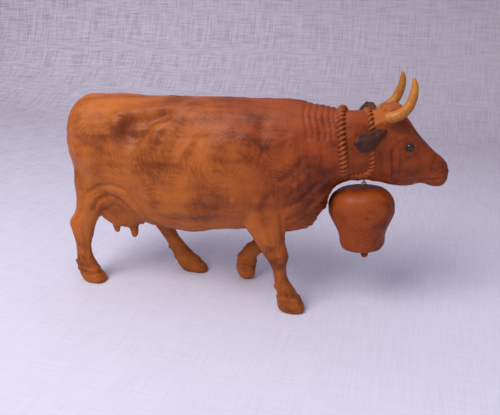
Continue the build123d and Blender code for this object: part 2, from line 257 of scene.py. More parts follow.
grainValues = {
    # how much of a step along X, Y and Z leads through the sheets, and how the sheets wander
    "through": (-0.16, 0.95, -0.2), "wander": 6.0, "ripple": 0.8,
    # what darkens the wood, and how dark all of it is to begin with
    "cloud": 1.8, "streak": 1.3, "fibre": 0.6, "start": 0.24,
    # the ragged edge of a patch of painted shade, in square millimetres
    "shadePatchEdge": 260.0,
    # the tones change from rump to head over this stretch of x plus a part of z; the darker head is partly
    # the wood's deeper red and partly painted shade
    "headward": (8.0, 102.0), "headwardRise": 0.75, "headwardEdge": 50.0,
    # a painted highlight keeps the poll, lit from above, nearly as pale as the rump: its x and z, and the
    # squares of its reach
    "poll": (67.0, 102.5), "pollReach": (18.0, 70.0), "pollShare": 0.25,
    "shine": 0.22, "bumpDistance": 0.00012, "bumpStrength": 0.5,
}


def carvedWood(name):
    # sheets of yearly growth, nearly level with the flank, that the carving cuts into loops and stripes
    values = woodValues[name]
    grain = grainValues
    wood = Finish(name)
    x, y, z = wood.axes()
    wander = wood.noise((30.0, 44.0, 16.0), 2.0)
    ripple = wood.noise((170.0, 170.0, 60.0), 3.0)
    fibre = wood.noise((1500.0, 1500.0, 110.0), 4.0, 0.6)
    cloud = wood.noise((48.0, 48.0, 36.0), 4.0, 0.6)
    streak = wood.noise((26.0, 260.0, 170.0), 4.0, 0.6)

    throughX, throughY, throughZ = grain["through"]
    depth = y * throughY + x * throughX + z * throughZ
    depth = depth + (wander - 0.5) * grain["wander"] + (ripple - 0.5) * grain["ripple"]
    ring = depth / values["ringGap"]
    late = ring.fract()
    line = late.between(0.25, 0.86) * late.between(0.88, 1.0, 1.0, 0.0)
    thisRing = wood.node("ShaderNodeTexWhiteNoise", {"noise_dimensions": "1D"}, {"W": ring.floor()})

    blotches = ((cloud - 0.5) * grain["cloud"] + (streak - 0.5) * grain["streak"]) * values["mottle"]
    tone = line * (thisRing * 0.5 + 0.5) * values["ringShare"] + blotches
    tone = tone + (fibre - 0.5) * grain["fibre"] + grain["start"]
    # painted shade: darker patches over the hip hollow, the rump, the flank, the neck and the low chest
    for shadeX, shadeZ, reach, strength in values["shadePatches"]:
        away = (x - shadeX) * (x - shadeX) + (z - shadeZ) * (z - shadeZ) + (cloud - 0.5) * grain["shadePatchEdge"]
        tone = tone + away.between(0.0, reach * reach, strength, 0.0)

    rumpPale, rumpDark, headPale, headDark = values["tones"]
    # painted shade, with some of the wood's own deeper red: the tones darken towards the head
    headward = x + z * grain["headwardRise"] + (cloud - 0.5) * grain["headwardEdge"]
    headward = headward.between(*grain["headward"])
    # painted highlight: the poll, lit from above, is kept nearly as pale as the rump
    pollX, pollZ = grain["poll"]
    offPoll = ((x - pollX) * (x - pollX) + (z - pollZ) * (z - pollZ)).between(*grain["pollReach"])
    headward = headward * (offPoll * (1 - grain["pollShare"]) + grain["pollShare"])
    pale = wood.mixed(headward, rumpPale, headPale)
    dark = wood.mixed(headward, rumpDark, headDark)
    wood.set(Base_Color=wood.mixed(tone.between(0.0, 1.0), pale, dark), Specular_IOR_Level=grain["shine"],
             Roughness=fibre.between(0.2, 0.8, values["rough"] - 0.08, values["rough"] + 0.1))
    height = (1.0 - line) * 0.12 + fibre * 0.4 + ripple * 0.5
    wood.bump(height, grain["bumpDistance"], grain["bumpStrength"])
    return wood.material


smallFinishValues = {
    "leather": {"dark": (0.045, 0.013, 0.008), "pale": (0.12, 0.04, 0.024)},
    "bead": {"dark": (0.006, 0.006, 0.008), "pale": (0.016, 0.014, 0.018)},
    "brass": {"bright": (0.46, 0.33, 0.12), "dull": (0.20, 0.12, 0.05)},
}


def earLeather():
    values = smallFinishValues["leather"]
    leather = Finish("EarLeather")
    patch = leather.noise((300.0, 300.0, 300.0), 4.0, 0.6)
    stops = [(0.3, values["dark"]), (0.75, values["pale"])]
    leather.set(Specular_IOR_Level=0.2, Roughness=patch.between(0.2, 0.8, 0.55, 0.75),
                Base_Color=leather.node("ShaderNodeValToRGB", {"stops": stops}, {"Fac": patch}))
    leather.bump(leather.noise((1400.0, 1400.0, 1400.0)), 0.00015, 0.6)
    return leather.material


def eyeBead():
    values = smallFinishValues["bead"]
    bead = Finish("EyeBead")
    speck = bead.noise((500.0, 500.0, 500.0), 2.0)
    bead.set(Base_Color=bead.mixed(speck, values["dark"], values["pale"]),
             Roughness=speck.between(0.3, 0.7, 0.07, 0.14))
    return bead.material


def wireBrass():
    values = smallFinishValues["brass"]
    brass = Finish("WireBrass")
    tarnish = brass.noise((900.0, 900.0, 900.0))
    brass.set(Base_Color=brass.mixed(tarnish.between(0.3, 0.7), values["bright"], values["dull"]),
              Metallic=1.0, Roughness=tarnish.between(0.2, 0.8, 0.3, 0.55))
    return brass.material


bellValues = {
    # the crown's place, the lean in degrees, the wall, and the room that the chest leaves round the bell
    "crown": (58.8, 1.0, 65.05), "lean": 5.5, "wall": 1.7, "room": 1.0,
    "facets": 10, "facetDepth": 0.012,
    # down the bell, half its length along the cow, half its depth
    "profile": [
        (0.0, 4.0, 3.4), (0.35, 7.6, 5.6), (1.5, 11.0, 8.4), (4.3, 14.2, 11.0), (8.6, 15.7, 12.0),
        (12.2, 15.7, 12.0), (16.6, 14.2, 11.4), (21.0, 12.2, 10.8), (25.0, 11.1, 10.3),
        (28.2, 10.9, 10.1), (29.9, 10.4, 9.7), (30.8, 9.6, 9.0), (31.0, 9.0, 8.5),
    ],
}


cowTables = {
    # x, top, bottom, half width, height of the widest line, squareness, turn
    "trunk": [
        (-95.6, 88.5, 70.0, 3.6, 0.5, 2.1, 0), (-94.6, 91.5, 65.5, 6.6, 0.5, 2.1, 0),
        (-92.6, 94.8, 61.0, 10.0, 0.5, 2.1, 0), (-88.0, 99.8, 53.0, 14.4, 0.5, 2.15, 0),
        (-81.0, 102.8, 45.0, 18.0, 0.5, 2.2, 0), (-66.4, 103.4, 40.0, 20.8, 0.49, 2.2, 0),
        (-47.4, 103.7, 34.6, 22.5, 0.47, 2.15, 0), (-29.4, 104.2, 33.2, 24.0, 0.46, 2.1, 0),
        (-7.4, 104.8, 37.0, 24.0, 0.47, 2.1, 0), (10.6, 105.2, 39.5, 21.2, 0.48, 2.1, 0),
        (25.0, 105.2, 38.5, 18.0, 0.5, 2.1, 0), (35.0, 104.2, 42.8, 15.0, 0.52, 2.1, 0),
        (42.0, 102.9, 52.6, 12.4, 0.53, 2.1, 0), (47.0, 102.0, 65.2, 10.6, 0.52, 2.2, 6),
        (53.0, 101.8, 68.8, 10.0, 0.5, 2.3, 10),
    ],
    # along the head, top, bottom, half width, height of the widest line, squareness
    "head": [
        (0.0, 101.9, 68.8, 10.0, 0.5, 2.3), (8.0, 102.0, 68.3, 9.7, 0.5, 2.3),
        (15.0, 102.3, 67.8, 9.4, 0.52, 2.3), (20.0, 102.4, 66.4, 9.0, 0.56, 2.35),
        (23.5, 101.0, 66.0, 8.7, 0.6, 2.4), (26.5, 97.8, 65.8, 8.4, 0.6, 2.4),
        (31.0, 91.8, 66.3, 7.3, 0.58, 2.4), (35.5, 87.0, 67.2, 6.4, 0.55, 2.4),
        (39.5, 83.3, 66.0, 6.3, 0.5, 2.5), (43.0, 80.6, 65.7, 6.6, 0.48, 2.5),
        (45.2, 78.4, 66.6, 6.0, 0.48, 2.4), (46.6, 75.8, 69.0, 4.2, 0.5, 2.2),
    ],
    # rear, front, height, side, thickness, squareness
    "hindRight": [
        (-90.0, -58.0, 70, -9.4, 15, 2), (-89.8, -64.0, 59, -11.0, 14.6, 2),
        (-89.2, -68.5, 51, -12.2, 12.6, 2), (-90.4, -74.6, 43, -13.0, 10.4, 2),
        (-93.2, -77.4, 38.5, -13.4, 9.4, 2.2), (-95.0, -79.6, 34.6, -13.4, 8.6, 2.3),
        (-94.0, -81.0, 30.5, -13.4, 7.8, 2.3), (-92.8, -82.8, 25, -13.4, 7.0, 2.2),
        (-92.4, -83.8, 18.8, -13.4, 6.8, 2.2), (-92.8, -83.4, 14.0, -13.4, 7.2, 2.2),
        (-93.6, -81.8, 10.8, -13.4, 8.4, 2.2), (-93.2, -80.6, 8.2, -13.4, 8.4, 2.2),
        (-92.6, -80.0, 6.4, -13.4, 9.2, 2.5), (-91.0, -77.6, 3.2, -13.4, 9.9, 2.8),
        (-89.6, -76.4, 1.0, -13.4, 9.8, 2.8), (-89.2, -76.8, 0.0, -13.4, 9.2, 2.6),
    ],
    "hindLeft": [
        (-86.0, -50.0, 60, 10.4, 14, 2), (-75.0, -49.5, 47, 12.2, 12, 2),
        (-65.8, -48.4, 37, 13.2, 10.2, 2), (-58.8, -46.6, 28.5, 13.4, 8.4, 2.2),
        (-53.2, -43.4, 21.5, 13.4, 7.4, 2.2), (-49.6, -39.0, 15.6, 13.4, 7.0, 2.2),
        (-47.8, -35.8, 12.0, 13.4, 7.8, 2.2), (-46.4, -32.2, 9.0, 13.4, 8.4, 2.2),
        (-45.2, -29.8, 6.6, 13.4, 8.8, 2.5), (-43.0, -26.6, 3.2, 13.4, 9.6, 2.8),
        (-41.2, -25.4, 1.0, 13.4, 9.4, 2.8), (-40.8, -25.8, 0.0, 13.4, 8.8, 2.6),
    ],
    "frontRight": [
        (-4.0, 28.0, 66, -10.6, 14, 2), (-0.6, 27.0, 55, -11.6, 13.4, 2),
        (4.6, 26.4, 45.6, -12.6, 11.6, 2), (9.0, 25.6, 38.6, -13.2, 10.2, 2.1),
        (12.4, 26.6, 33.6, -13.4, 9.2, 2.2), (15.6, 27.6, 29.6, -13.4, 8.6, 2.3),
        (18.2, 26.8, 25.0, -13.4, 7.4, 2.2), (19.8, 26.8, 20.2, -13.4, 7.0, 2.2),
        (20.6, 28.6, 15.6, -13.4, 7.2, 2.2), (21.2, 31.2, 12.0, -13.4, 8.2, 2.2),
        (22.2, 32.8, 9.0, -13.4, 8.4, 2.2), (22.0, 34.4, 7.0, -13.4, 9.4, 2.4),
        (22.4, 36.4, 3.2, -13.4, 9.9, 2.5), (23.4, 36.9, 0.6, -13.4, 9.7, 2.5),
        (24.2, 36.2, 0.0, -13.4, 9.0, 2.4),
    ],
    # rear, front, height, side, thickness, squareness
    "udder": [
        (-86.0, -46.0, 54, 0, 34, 2), (-84.6, -49.0, 46, 0, 30, 2.1), (-82.0, -52.4, 39, 0, 26, 2.1),
        (-77.0, -56.0, 34.4, 0, 21, 2), (-71.0, -61.0, 31.8, 0, 13, 2),
    ],
    # x, height, lean, depth, thickness: the folded leg
    "frontLeft": [
        (9.0, 60, 0, 25, 14), (10.0, 47, 2, 18.5, 11.8), (11.2, 37, 4, 12.8, 9.8),
        (12.0, 31.4, -20, 11.8, 8.8), (9.6, 26.0, -46, 9.8, 7.6), (5.8, 22.0, -54, 8.8, 7.2),
        (1.6, 18.0, -40, 9.2, 7.8), (-1.0, 14.0, -18, 10.6, 8.4), (-2.0, 10.2, -4, 11.2, 8.8),
        (-2.2, 6.0, 0, 11.2, 9.4), (-1.9, 2.2, 0, 9.4, 8.6), (-1.6, 0.2, 0, 7.0, 7.0),
    ],
    # x, side and height of each tip, then the height above the tip and the radius of each ring
    "teats": [(-71.25, -5.25, 27.4), (-60.75, -5.25, 25.8), (-71.25, 4.4, 30.2), (-60.75, 4.4, 29.4)],
    "teatRings": [(9.4, 2.6), (5.9, 2.2), (3.0, 1.95), (1.2, 1.8), (0.3, 1.3), (0.0, 0.7)],
    # the flat-topped tuft on the poll: height, half length, half width
    "tuft": [(94, 4.9, 7.6), (99, 4.9, 7.5), (102.6, 4.8, 7.2), (104.2, 4.7, 6.9), (104.6, 4.5, 6.5)],
    # the boss that carries the horns: side, radius
    "boss": [(-9.0, 1.8), (-8.4, 2.8), (-6, 3.6), (0, 4.2), (6, 3.6), (8.4, 2.8), (9.0, 1.8)],
}
cowValues = {
    "legSide": 13.4, "foldedSquare": 2.2,
    "tuftAlong": 18.4, "tuftSquare": 3.6,
    "bossAlong": 15.6, "bossHeight": 99.4, "bossDroop": 0.05,
    "voxel": 0.73, "rounds": 8, "lastSoftening": 0.35,
}


def levelRing(bm, row):
    rear, front, height, side, thickness, square = row
    centre = Vector(((rear + front) / 2, side, height))
    half = thickness / 2
    return ovalRing(bm, centre, forward, leftward, (front - rear) / 2, half, half, square, 40)


def trunkRings(bm):
    rings = []
    for x, top, bottom, half, widest, square, turn in denser(cowTables["trunk"], 4):
        angle = math.radians(turn)
        middle = bottom + (top - bottom) * widest
        across = Vector((-math.sin(angle), math.cos(angle), 0))
        centre = Vector((x, 0, middle))
        rings.append(ovalRing(bm, centre, across, upward, half, top - middle, middle - bottom, square, 64))
    return rings


def headRings(bm):
    rings = []
    for along, top, bottom, half, widest, square in denser(cowTables["head"], 4):
        middle = bottom + (top - bottom) * widest
        centre = onHead(along, 0, middle)
        rings.append(ovalRing(bm, centre, headSide, upward, half, top - middle, middle - bottom, square, 56))
    return rings


def foldedLegRings(bm):
    rings = []
    for x, height, lean, depth, thickness in denser(cowTables["frontLeft"], 3):
        slant = math.radians(lean)
        across = Vector((math.cos(slant), 0, math.sin(slant)))
        centre = Vector((x, cowValues["legSide"], height))
        rings.append(ovalRing(bm, centre, across, leftward, depth / 2, thickness / 2, thickness / 2,
                              cowValues["foldedSquare"], 40))
    return rings


def teatRings(bm, x, side, tip):
    # a little cone with a round end
    return [ovalRing(bm, Vector((x, side, tip + up)), forward, leftward, r, r, r, 2.0, 20)
            for up, r in cowTables["teatRings"]]


def tuftRings(bm):
    return [ovalRing(bm, onHead(cowValues["tuftAlong"], 0, height), headAlong, headSide, deep, half, half,
                     cowValues["tuftSquare"], 40)
            for height, deep, half in cowTables["tuft"]]


def bossRings(bm):
    rings = []
    for side, r in cowTables["boss"]:
        height = cowValues["bossHeight"] - abs(side) * cowValues["bossDroop"]
        centre = onHead(cowValues["bossAlong"], side, height)
        rings.append(ovalRing(bm, centre, headAlong, upward, r, r * 0.8, r * 0.9, 2.2, 32))
    return rings


def fused(mesh, voxel):
    # one skin round all the closed shells of a mesh
    raw = bpy.data.objects.new("raw", mesh)
    bpy.context.scene.collection.objects.link(raw)
    remesh = raw.modifiers.new("oneSkin", "REMESH")
    remesh.mode = "VOXEL"
    remesh.voxel_size = voxel
    remesh.use_smooth_shade = True
    made = bpy.data.meshes.new_from_object(raw.evaluated_get(bpy.context.evaluated_depsgraph_get()))
    bpy.data.objects.remove(raw)
    return made


def carveBlock():
    bm = bmesh.new()
    skinRings(bm, trunkRings(bm))
    skinRings(bm, headRings(bm))
    for part in ("hindRight", "hindLeft", "frontRight", "udder"):
        skinRings(bm, [levelRing(bm, row) for row in denser(cowTables[part], 3)])
    skinRings(bm, foldedLegRings(bm))
    for teat in cowTables["teats"]:
        skinRings(bm, teatRings(bm, *teat))
    skinRings(bm, tuftRings(bm))
    skinRings(bm, bossRings(bm))
    return fused(asMesh(bm, "block"), cowValues["voxel"])


# Cuts and swellings: a path on the side view, how wide it is, and how far it stands out, or how deep
# it is cut where the number is below zero.
# On the flank and neck a path has x and z, on the face it has the distance along the head and z.
cowStrokes = {
    "flank": [
        ([(-59, 95.5), (-56.5, 93.5)], 6.5, 1.5),
        ([(-57, 96.5), (-47, 98.6), (-36, 100), (-18, 101.4)], 2.6, 0.9),
        ([(-54, 92), (-47.5, 93.4), (-41, 94.8), (-33, 97.2)], 3.6, -1.7),
        ([(-53, 88), (-48.5, 86.5), (-43, 89)], 6.0, -2.1),
        ([(-60, 92), (-57, 86), (-53, 79), (-48, 72), (-43.4, 65), (-41, 56)], 3.6, 1.0),
        ([(-37, 88), (-40, 80), (-39, 70)], 3.6, 0.6),
        ([(-22, 101), (-31, 96), (-38, 89.6), (-42.6, 83)], 4.6, 0.8),
        ([(-21.6, 94), (-25.5, 87.3), (-30, 79), (-32.4, 72)], 5.2, -0.8),
        ([(-13.9, 88.3), (-18.4, 81.8), (-22.2, 75), (-24, 69)], 4.6, -0.65),
        ([(-6, 86), (-11, 78), (-14.4, 70)], 5.0, 0.3),
        ([(-40, 78), (-38, 70), (-35, 60)], 5.0, -0.4),
        ([(-78, 55), (-71, 59.6), (-62, 61), (-56, 59.4), (-50.6, 52), (-46, 43.6), (-40, 38)], 2.0, -1.0),
        ([(-77, 45), (-74, 50.5), (-67, 54.6), (-60, 53), (-54.4, 46), (-50, 39)], 1.9, -1.5),
        ([(-72, 44), (-66, 48), (-59, 46), (-55, 41)], 1.8, -0.5),
        ([(-84, 88), (-78, 86), (-70, 86), (-62, 88)], 6.0, 0.5),
        ([(-92, 83), (-84, 81), (-74, 80)], 4.4, -0.5),
        ([(-82, 74), (-76, 68), (-72, 60)], 5.0, 0.5),
        ([(-40, 47), (-28, 45), (-14, 47), (0, 51)], 3.4, -0.6),
        ([(-42, 42.6), (-28, 39.8), (-12, 42)], 2.8, 0.4),
        ([(-20, 57), (-8, 55), (2, 57)], 3.0, -0.4),
        ([(-30, 52), (-18, 51), (-8, 50)], 2.6, 0.35),
        ([(13.5, 95), (15.5, 86), (19, 76), (22, 66), (24, 56)], 4.6, -0.7),
        ([(7, 90), (9, 80), (12, 68), (14, 56)], 6.0, 0.6),
        ([(28, 90), (29, 78), (28, 66)], 4.0, 0.5),
        ([(34, 92), (36, 80), (37, 70)], 2.8, -0.45),
        ([(40, 92), (42, 82), (43, 74)], 2.2, -0.35),
        ([(-0.6, 66), (0.6, 62), (0.0, 58.4)], 1.3, -0.6),
        ([(4, 60), (6, 54), (8, 47)], 2.0, -0.5),
        ([(13, 60), (15, 50), (17, 41), (18, 37)], 2.6, 0.8),
        ([(24, 52), (25, 45), (26, 40.5)], 2.2, -0.9),
        ([(27, 50), (33, 53), (39, 60)], 1.9, -1.0),
        ([(26, 43.6), (33, 47), (39, 54)], 1.8, 0.7),
        ([(26, 57), (33, 61), (40, 69)], 1.9, -0.9),
        ([(24.6, 63), (30, 68), (36, 75)], 2.0, 0.6),
        ([(24, 70), (29, 75), (34, 82)], 2.2, -0.6),
        ([(31, 40), (33.6, 47)], 1.6, -0.9),
        ([(36, 46), (38, 53)], 1.5, -0.8),
        ([(-88, 38), (-84, 44), (-81, 52)], 2.4, -0.7),
        ([(-92.6, 34.8), (-91.4, 37)], 2.6, 0.6),
        ([(-85, 33), (-84.6, 24), (-85.6, 15)], 1.8, -0.6),
        ([(-91.4, 30), (-90.8, 22), (-91, 15)], 1.6, 0.4),
        ([(19.4, 36.4), (20.6, 31)], 3.0, 0.7),
        ([(21.4, 27), (22.6, 20), (23.6, 14)], 1.7, -0.5),
        ([(24.6, 31.5), (25.6, 28.5)], 2.4, 0.6),
        ([(17, 35.4), (20, 33.4)], 1.2, -0.4),
    ],
    "neck": [([(x, 106), (x + 0.4, 100), (x + 2.6, 94), (x + 3.0, 90.5)], 0.85, -0.62)
             for x in (31.4, 34.2, 37.0, 39.8, 42.5, 44.6)],
    "face": [
        ([(13.1, 84.8), (14.3, 78.7), (15.4, 71)], 1.6, -1.0),
        ([(16.3, 86), (17.7, 78.7), (18.6, 70.5)], 1.5, 0.7),
        ([(18.4, 85), (19.2, 78), (19.6, 71)], 1.3, -0.8),
        ([(20.6, 84.5), (21.8, 78), (21.4, 71.5)], 1.3, 0.6),
        ([(22.6, 80.5), (23.0, 74.5), (21.6, 69.5)], 1.4, -0.4),
        ([(22, 91.2), (25.7, 92), (29.2, 90)], 1.8, 0.7),
        ([(23.4, 88.6), (26, 90), (28.6, 88.4)], 0.9, -0.3),
        ([(28.9, 84.6), (33, 80.8)], 1.8, -0.5),
        ([(26, 83.6), (29, 82.8)], 1.6, 0.35),
        ([(45.6, 72.2), (44.1, 71.6), (40.5, 70.6), (35.9, 70.2), (32.4, 69.6)], 0.95, -0.65),
        ([(33.2, 67.6), (32.0, 68.4)], 1.9, -0.8),
        ([(39.6, 81.5), (38.0, 77), (38.6, 73)], 1.6, -0.45),
        ([(42.4, 80), (41.6, 76.4), (42.4, 73.4)], 1.6, 0.4),
        ([(24.5, 97), (29, 91.8), (35, 86)], 1.6, -0.35),
        ([(18.8, 95.4), (22, 93.8)], 2.2, -0.5),
        ([(10, 97), (12.6, 98.8), (15, 97.6)], 1.7, 0.8),
    ],
}
carvingValues = {
    # distance from the middle, width and height of each ring round an eye or a nostril
    "eye": (26.1, 86.7), "eyeRings": [(1.2, 2.2, -0.55), (3.4, 1.1, 0.28)],
    "nostril": (45.0, 3.6, 76.2), "nostrilRings": [(0.0, 1.5, -1.1), (2.1, 0.9, 0.35)],
    # the line down the front of the muzzle, and the curls of hair beside the horns
    "muzzleLine": -0.4, "muzzleFrom": 44.6,
    "curl": (12.6, 99.0), "curlReach": 4.2, "curlHeight": 0.55,
    # which side, where the cleft starts, rear and front of each hoof
    "hooves": [(-1, -85, -97, -75), (-1, 29, 20, 40), (1, -34, -50, -24), (1, -2, -10, 5)],
    "hoofTop": 12, "cleft": -0.95, "cleftWidth": 0.75, "cleftTop": 8.4,
    # height, width and depth of the rim above a hoof and of the groove below the rim
    "hoofRims": [(7.5, 1.0, 0.5), (5.7, 0.8, -0.35)],
    "dewclaws": [(-93.6, -11.6, 11.8), (-93.6, -15.2, 11.8), (20.8, -11.6, 13.2), (20.8, -15.2, 13.2),
                 (-48.4, 11.6, 13.6), (-48.4, 15.2, 13.6)],
    "dewclawHeight": 1.5, "dewclawReach": 1.7,
    # how often the chisel's waves come and how high they are
    "waves": [(0.11, 0.32), (0.23, 0.2), (0.5, 0.09)],
    # height, width and depth of the folds of the lifted foot
    "liftedRims": [(9.4, 1.0, -0.8), (11.4, 1.5, 0.7), (15.4, 1.4, -0.7), (3.0, 1.6, 0.4), (20.5, 1.6, 0.5)],
    # the seat over the bell: its place, its radius, below which height, and how deep
    "seat": (60.2, 1.0), "seatRadius": 3.4, "seatBelow": 74, "seatDepth": 1.7,
}


def rising(value, reach):
    # 0 below nothing, 1 from the reach up
    return np.clip(value / reach, 0, 1)


def near(distance, reach):
    # 1 at no distance, 0 from the reach outwards
    return np.clip(1 - distance / reach, 0, 1)


def ringPush(distance, rings):
    return sum(height * near(np.abs(distance - middle), width) for middle, width, height in rings)


def pathShare(flat, path, width):
    # 1 on the path, falling softly to 0 at the width from it
    nearest = np.full(len(flat), 1e9)
    for start, end in zip(np.array(path[:-1], float), np.array(path[1:], float)):
        run = end - start
        along = np.clip(((flat - start) @ run) / (run @ run), 0, 1)
        nearest = np.minimum(nearest, np.linalg.norm(flat - start - along[:, None] * run, axis=1))
    share = near(nearest, width)
    return share * share * (3 - 2 * share)


def flankPush(points, normals, onTheHead):
    x, y, z = points.T
    flank = np.column_stack((x, z))
    facing = rising(np.abs(normals[:, 1]) - 0.12, 0.35) * (1 - onTheHead)
    outer = np.where((z < 46) & (np.abs(y) < 7), 0.0, 1.0)
    push = np.zeros(len(points))
    # the legs of the two sides stand at different places, so low cuts go to the right side alone
    for path, width, depth in cowStrokes["flank"]:
        low = max(height for _, height in path) < 60
        here = np.where((y > 0) & low & (z < 48), 0.0, 1.0)
        push += depth * here * pathShare(flank, path, width) * facing * outer
    for path, width, depth in cowStrokes["neck"]:
        push += depth * pathShare(flank, path, width) * (1 - onTheHead)
    return push


def headPush(points, normals, along, side, onTheHead):
    values = carvingValues
    z = points[:, 2]
    cheek = rising(np.abs(normals @ np.array(headSide)) - 0.1, 0.3) * onTheHead
    face = np.column_stack((along, z))
    push = np.zeros(len(points))
    for path, width, depth in cowStrokes["face"]:
        push += depth * pathShare(face, path, width) * cheek
    curlAlong, curlHeight = values["curl"]
    curls = near(np.hypot(along - curlAlong, z - curlHeight), values["curlReach"]) * rising(np.abs(side), 4)
    push += curls * values["curlHeight"] * np.sin(along * 3.1 + 1.2 * np.sin(z * 2.0)) * np.sin(z * 2.9)
    eyeAlong, eyeHeight = values["eye"]
    push += cheek * ringPush(np.hypot(along - eyeAlong, z - eyeHeight), values["eyeRings"])
    nostrilAlong, nostrilSide, nostrilHeight = values["nostril"]
    fromNostril = np.hypot(np.hypot(along - nostrilAlong, z - nostrilHeight), np.abs(side) - nostrilSide)
    push += ringPush(fromNostril, values["nostrilRings"])
    push += values["muzzleLine"] * near(np.abs(side), 0.7) * rising(along - values["muzzleFrom"], 0.6)
    return push


def hoofPush(points):
    values = carvingValues
    x, y, z = points.T
    push = np.zeros(len(points))
    for hand, middle, rear, front in values["hooves"]:
        here = (y * hand > 0) & (x > rear) & (x < front) & (z < values["hoofTop"])
        fromCleft = np.abs(y - hand * cowValues["legSide"])
        share = near(fromCleft, values["cleftWidth"]) * rising(x - middle, 3)
        share *= rising(values["cleftTop"] - z, 1.5)
        push += here * values["cleft"] * share
        push += here * ringPush(z, values["hoofRims"])
    for claw in values["dewclaws"]:
        fromClaw = np.linalg.norm(points - np.array(claw), axis=1)
        push += values["dewclawHeight"] * near(fromClaw, values["dewclawReach"])
    # the folds of the lifted foot slope with the pastern
    lifted = (y > 6) & (x > -12) & (x < 16) & (z < 28)
    push += lifted * ringPush(z + x * 0.35, values["liftedRims"])
    return push


def skinPush(points, normals, onTheHead):
    x, y, z = points.T
    waves = np.zeros(len(points))
    for often, height in carvingValues["waves"]:
        u, v, w = (points * often).T
        first = np.sin(u * 1.3 + 2.1 * np.sin(w * 0.9))
        waves += height * first * np.sin(w * 1.1 + 1.7 * np.sin(u * 0.8) + v)
    push = waves * rising(z - 14, 12) * np.clip(1 - onTheHead, 0.3, 1)
    # the loose skin of the dewlap hangs in folds
    loose = rising(x - 24, 4) * rising(48 - x, 5) * rising(z - 38, 3) * rising(78 - z, 12)
    loose *= rising(12 - np.abs(y), 3) * np.clip(normals[:, 0] * 1.6 - normals[:, 2], 0, 1)
    push += loose * (0.5 * np.sin(z * 0.95 - x * 0.75) + 0.3 * np.sin(z * 2.1 + x * 0.6))
    return push


def cutSeat(points, normals):
    # the seat over the bell, cut up into the throat
    values = carvingValues
    seatX, seatSide = values["seat"]
    fromScrew = np.hypot(points[:, 0] - seatX, points[:, 1] - seatSide)
    seat = rising(values["seatRadius"] - fromScrew, 0.8) * (points[:, 2] < values["seatBelow"])
    points[:, 2] += seat * np.clip(-normals[:, 2] * 2, 0, 1) * values["seatDepth"]


def hollowChest(points):
    # the chest is hollowed so that the bell hangs and rocks free of it
    values = bellValues
    depths, halfLengths, halfDepths = zip(*values["profile"])
    down = values["crown"][2] - points[:, 2]
    middle = values["crown"][0] + down * math.tan(math.radians(values["lean"]))
    halfLength = np.interp(down, depths, halfLengths) + values["room"]
    halfDepth = np.interp(down, depths, halfDepths) + values["room"] + 2.0
    across = np.clip(np.abs(points[:, 1] - values["crown"][1]) / halfDepth, 0, 1)
    furthest = middle - halfLength * np.sqrt(1 - across ** 2)
    behind = (down > 2) & (down < 31) & (across < 1) & (points[:, 0] < middle)
    points[:, 0] = np.where(behind, np.minimum(points[:, 0], furthest), points[:, 0])


def readPoints(mesh):
    points = np.empty(len(mesh.vertices) * 3)
    normals = np.empty(len(mesh.vertices) * 3)
    mesh.vertices.foreach_get("co", points)
    mesh.vertices.foreach_get("normal", normals)
    return points.reshape(-1, 3), normals.reshape(-1, 3)


def chiselDetails(mesh):
    points, normals = readPoints(mesh)
    fromNeck = points - np.array(neckTurn)
    along = fromNeck @ np.array(headAlong)
    side = fromNeck @ np.array(headSide)
    onTheHead = rising(along - 9, 3)
    push = flankPush(points, normals, onTheHead)
    push += headPush(points, normals, along, side, onTheHead)
    push += hoofPush(points)
    push += skinPush(points, normals, onTheHead)
    points = points + normals * push[:, None]
    cutSeat(points, normals)
    hollowChest(points)
    points[:, 2] = np.maximum(points[:, 2], 0.0)
    mesh.vertices.foreach_set("co", points.ravel())
    mesh.update()


def softened(mesh, rounds, factor=0.5):
    bm = bmesh.new()
    bm.from_mesh(mesh)
    for _ in range(rounds):
        bmesh.ops.smooth_vert(bm, verts=bm.verts, factor=factor,
                              use_axis_x=True, use_axis_y=True, use_axis_z=True)
    bm.to_mesh(mesh)
    bm.free()
    mesh.update()


def makeCow(material):
    mesh = carveBlock()
    softened(mesh, cowValues["rounds"])
    chiselDetails(mesh)
    softened(mesh, 1, cowValues["lastSoftening"])
    return finished(mesh, "CowBlock", material, "cow", "carved_body")


hornValues = {
    # along the head, out to its side, height, radius
    "line": [
        (13.6, 8.4, 99.9, 1.2), (14.3, 8.8, 100.1, 2.1), (16.4, 9.7, 100.7, 2.5),
        (19.4, 10.8, 102.2, 2.45), (22.2, 11.4, 105.0, 2.3), (23.9, 11.3, 109.0, 2.05),
        (24.6, 10.7, 113.0, 1.65), (24.3, 10.2, 116.2, 1.15), (23.8, 9.9, 117.7, 0.55),
    ],
}


def makeHorn(name, hand, material, node):
    bm = bmesh.new()
    line = [(*onHead(along, hand * side, height), radius)
            for along, side, height, radius in denser(hornValues["line"], 4)]
    skinRings(bm, tubeRings(bm, line, 28))
    return finished(asMesh(bm, name), name, material, "cow", node)


earValues = {
    # place on the leaf's long line, lower edge, upper edge
    "leaf": [
        (0.0, -1.3, 1.6), (1.2, -2.0, 2.0), (3.5, -3.6, 2.6), (6.5, -5.2, 3.0), (9.5, -5.9, 3.3),
        (12.5, -5.6, 3.6), (15.0, -4.4, 3.5), (16.8, -2.6, 2.9), (17.9, -0.4, 2.0), (18.3, 0.4, 1.2),
    ],
    "thickness": 1.3, "square": 2.6,
    # the leaf is cupped across, bowed along and creased near its middle
    "cup": 1.1, "cupReach": 5.0, "bow": 0.012, "bowLength": 18,
    "crease": 0.7, "creaseAt": 1.2, "creaseReach": 1.4,
    "root": (14.4, 8.9, 94.0), "outward": 0.3,
    # which side, where the tip points, the roll in degrees, how long it is against the leaf
    "EarRight": {"hand": -1, "tip": (1.0, -17.8, 90.8), "roll": 0, "reach": 1.0},
    "EarLeft": {"hand": 1, "tip": (10.4, 22.5, 100.8), "roll": 66, "reach": 0.85},
}


